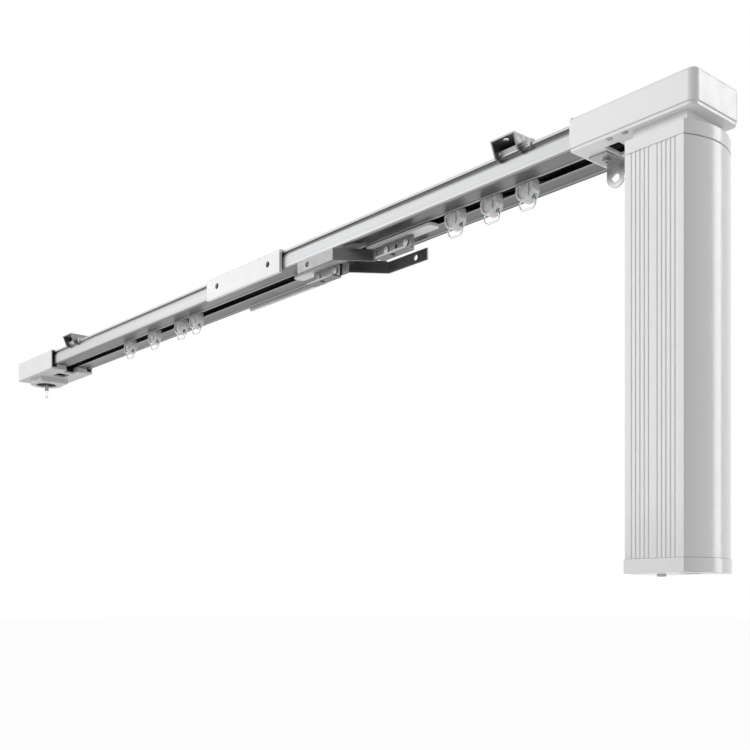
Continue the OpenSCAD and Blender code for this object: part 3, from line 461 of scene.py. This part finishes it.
def clear_nylon(name, tone, rough):
    """Milky nylon: light passes partly through, with cloudy tone and a smooth skin."""
    f = Finish(name, tone, rough, soft_edge=0.4, Transmission_Weight=0.15, IOR=1.5,
               Subsurface_Weight=0.25, Subsurface_Scale=0.002)
    f.shade(f.pattern("noise", 5, detail=3), *NOISE, 0.94, 1.0)
    f.polish(f.pattern("noise", 2, detail=3), *NOISE, rough - 0.06, rough + 0.08)
    return f.relief(f.pattern("noise", 0.6, detail=2), 0.01).done()


def woven_rubber(name, tone, rough):
    """Belt rubber: dull, with a faint cloth face."""
    f = Finish(name, tone, rough, soft_edge=0.2)
    weave = f.pattern("cells", 0.5, (3, 1, 1))
    f.shade(weave, *CELLS, 0.8, 1.3)
    f.polish(f.pattern("noise", 3, detail=3), *NOISE, rough - 0.08, rough + 0.08)
    return f.relief(weave, 0.03).done()


def solder_mask(name, tone, rough):
    """Circuit board: lacquer over raised copper runs, with silk-dull areas."""
    f = Finish(name, tone, rough, soft_edge=0.1)
    runs = f.pattern("cells", 2.2, (1, 1, 4))
    f.shade(runs, *NOISE, 0.7, 1.5)
    f.polish(f.pattern("noise", 4, detail=3), *NOISE, 0.28, 0.5)
    return f.relief(runs, 0.03).done()


finishes = {
    "aluminium": drawn_aluminium("rail_aluminium", (0.25, 0.252, 0.255), 0.36),
    "white_plastic": moulded("saddle_white", (0.82, 0.82, 0.815), 0.4),
    # a greyer copy of the saddle's white plastic for the return end: painted shade
    "return_plastic_painted_shade": moulded("return_white_painted_shade", (0.60, 0.60, 0.596), 0.4),
    "set_screw": blackened_steel("set_screw_black", (0.07, 0.07, 0.072), 0.38),
    "dark_steel": blackened_steel("bracket_black", (0.22, 0.22, 0.223), 0.34),
    "light_plastic": moulded("latch_white", (0.66, 0.66, 0.65), 0.45),
    "shell_plastic": moulded("shell_white", (0.84, 0.84, 0.836), 0.18, 0.18, 0.005),
    "painted_tube": powder_coat("tube_white", (0.84, 0.84, 0.836), 0.14),
    "satin_steel": plated_steel("hook_satin", (0.42, 0.42, 0.415), 0.3, (1, 1, 20)),
    "zinc_steel": spangled_zinc("hanger_zinc", (0.29, 0.29, 0.284), 0.44),
    "arm_steel": plated_steel("arm_plated", (0.19, 0.19, 0.194), 0.42, (20, 20, 1)),
    "screw_steel": plated_steel("screw_plated", (0.42, 0.42, 0.42), 0.32),
    "black_plastic": moulded("pulley_black", (0.025, 0.025, 0.026), 0.45),
    "belt_rubber": woven_rubber("belt_black", (0.018, 0.018, 0.018), 0.7),
    "brass": plated_steel("bush_brass", (0.62, 0.44, 0.18), 0.25),
    "can_steel": plated_steel("can_plated", (0.42, 0.42, 0.43), 0.3, (1, 1, 20)),
    "board": solder_mask("board_green", (0.03, 0.16, 0.07), 0.35),
    "button_plastic": moulded("button_grey", (0.68, 0.68, 0.676), 0.42),
    "wheel_plastic": moulded("wheel_white", (0.78, 0.78, 0.76), 0.35),
    "runner_plastic": clear_nylon("runner_nylon", (0.90, 0.91, 0.915), 0.25),
    "wire": plated_steel("eye_wire", (0.62, 0.62, 0.62), 0.18),
}

pieces = [
    ribbed_tube(),
    toothed_belt(),
    drawn_rail("rail_skin_left", "rail_left", X_LEFT - TONGUE, X_JOINT),
    drawn_rail("rail_skin_right", "rail_right", X_JOINT, X_RIGHT + TONGUE),
    moulded_box("head_shell", ["head_cover"], "shell_plastic", x0=X_RIGHT, x1=X_RIGHT + 94, half=25.7,
                z0=-25.3, z1=-5.0, wall=1.6, r_near=0.6, r_far=5.0, r_top=2.2,
                mouth=24.05, mouth_z=RAIL_TOP + 0.1),
    moulded_box("return_shell", ["return_cap"], "white_plastic", x0=X_LEFT, x1=X_LEFT - 107, half=27.5,
                z0=-30.5, z1=-7.2, wall=1.2, r_near=0.6, r_far=3.0, r_top=1.2,
                mouth=26.2, mouth_z=-8.35),
    *cross_screws("head_screw", ["head_screws"], "screw_steel", x_mid=X_RIGHT, x_off=(30, 42), y_off=22.4,
                  z_seat=-27.5, r=2.2, r_shank=1.1, length=7.3),
    *cross_screws("cap_screw", ["cap_screws"], "screw_steel", x_mid=MOTOR_X, x_off=(-17, 17), y_off=21.2,
                  z_seat=-306.4, r=2.6, r_shank=1.4, length=17.0),
]

slot_of = {p["node"]: p["material_slot"] for p in frame["record"]["subparts"]}
# the return end's mouldings are a greyer copy of the saddle's white plastic, as painted shade, and the saddle's
# set screws are black
own_finish = {"return_shell": "return_plastic_painted_shade", "return_base": "return_plastic_painted_shade", "splice_screws": "set_screw"}
for name, obj in nodes.items():
    obj.data.materials.clear()
    obj.data.materials.append(finishes[own_finish.get(name, slot_of[name])])
for obj in pieces:
    obj.data.materials.append(finishes[own_finish.get(obj.name, obj["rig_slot"])])


def white_seen(tree):
    """1 for rays from the camera, a mirror or a clear body, and 0 for the rays that light the object."""
    path = tree.nodes.new("ShaderNodeLightPath")
    total = path.outputs["Is Camera Ray"]
    for other in ("Is Glossy Ray", "Is Transmission Ray"):
        most = tree.nodes.new("ShaderNodeMath")
        most.operation = "MAXIMUM"
        tree.links.new(total, most.inputs[0])
        tree.links.new(path.outputs[other], most.inputs[1])
        total = most.outputs[0]
    return total


def mixed(tree, factor, first, second):
    """Shader that runs from first to second as factor runs from 0 to 1."""
    mix = tree.nodes.new("ShaderNodeMixShader")
    for source, socket in zip((factor, first, second), mix.inputs):
        tree.links.new(source, socket)
    return mix.outputs[0]


world = bpy.data.worlds.new("studio")
scene.world = world
world.use_nodes = True
sky = world.node_tree
lights = sky.nodes["Background"]
white = sky.nodes.new("ShaderNodeBackground")
for ground, strength in ((lights, 0.54), (white, 1.0)):
    ground.inputs["Color"].default_value = (1, 1, 1, 1)
    ground.inputs["Strength"].default_value = strength
shown = mixed(sky, white_seen(sky), lights.outputs[0], white.outputs[0])
sky.links.new(shown, sky.nodes["World Output"].inputs["Surface"])


def stage_card(name, corners, build):
    """A flat card through four corners, whose material is the shader that build makes."""
    mesh = bpy.data.meshes.new(name)
    mesh.from_pydata(corners, [], [(0, 1, 2, 3)])
    obj = bpy.data.objects.new(name, mesh)
    scene.collection.objects.link(obj)
    mat = bpy.data.materials.new(name)
    mat.use_nodes = True
    tree = mat.node_tree
    tree.links.new(build(tree), tree.nodes["Material Output"].inputs["Surface"])
    mesh.materials.append(mat)


def matt(tree, grey, rough):
    """The material's plain matt shader in one grey."""
    base = tree.nodes["Principled BSDF"]
    base.inputs["Base Color"].default_value = (grey, grey, grey, 1)
    base.inputs["Roughness"].default_value = rough
    return base.outputs[0]


def pale_floor(tree):
    """Pale matt floor that the camera sees almost white, with a trace of the object's shadow. From below it is
    clear, so that the object's underside can be looked at."""
    glow = tree.nodes.new("ShaderNodeEmission")
    glow.inputs["Strength"].default_value = 1.0
    part = tree.nodes.new("ShaderNodeMath")
    part.operation = "MULTIPLY"
    part.inputs[1].default_value = 0.96
    tree.links.new(white_seen(tree), part.inputs[0])
    pale = mixed(tree, part.outputs[0], matt(tree, 0.85, 0.9), glow.outputs[0])
    side = tree.nodes.new("ShaderNodeNewGeometry")
    clear = tree.nodes.new("ShaderNodeBsdfTransparent")
    return mixed(tree, side.outputs["Backfacing"], pale, clear.outputs[0])


def dark_flag(tree):
    """Dark card that dims what the metal mirrors; the camera looks through it."""
    path = tree.nodes.new("ShaderNodeLightPath")
    clear = tree.nodes.new("ShaderNodeBsdfTransparent")
    return mixed(tree, path.outputs["Is Camera Ray"], matt(tree, 0.03, 1.0), clear.outputs[0])


def soft_lamp(name, place, target, width, height, radiance):
    """Rectangular lamp that faces target; its power gives the stated radiance over its area."""
    lamp = bpy.data.lights.new(name, "AREA")
    lamp.shape = "RECTANGLE"
    lamp.size, lamp.size_y = width, height
    lamp.energy = radiance * math.pi * width * height
    obj = bpy.data.objects.new(name, lamp)
    scene.collection.objects.link(obj)
    obj.location = place
    obj.rotation_euler = (Vector(target) - Vector(place)).to_track_quat("-Z", "Y").to_euler()


# the stage, the lamps and the camera are placed in metres
stage_card("floor", [(-30, -30, -0.8), (30, -30, -0.8), (30, 30, -0.8), (-30, 30, -0.8)], pale_floor)
stage_card("flag", [(1.1, -1.9, -0.75), (2.3, -0.7, -0.75), (2.3, -0.7, 0.6), (1.1, -1.9, 0.6)], dark_flag)
soft_lamp("key", place=(-1.31, -1.4, 0.7), target=(0.1, 0.0, -0.1), width=2.1, height=1.7, radiance=2.55)
soft_lamp("strip", place=(1.318, 1.281, 0.3), target=(0.49, 0.03, -0.1), width=0.46, height=1.3, radiance=3.6)

camera = bpy.data.objects.new("camera", bpy.data.cameras.new("camera"))
scene.collection.objects.link(camera)
camera.data.lens = 49.82
camera.data.shift_y = 0.3042
camera.data.clip_start = 0.01
camera.location = (0.8443, -0.5452, -0.326)
camera.rotation_euler = (math.radians(90), 0, math.radians(49.16))
scene.camera = camera
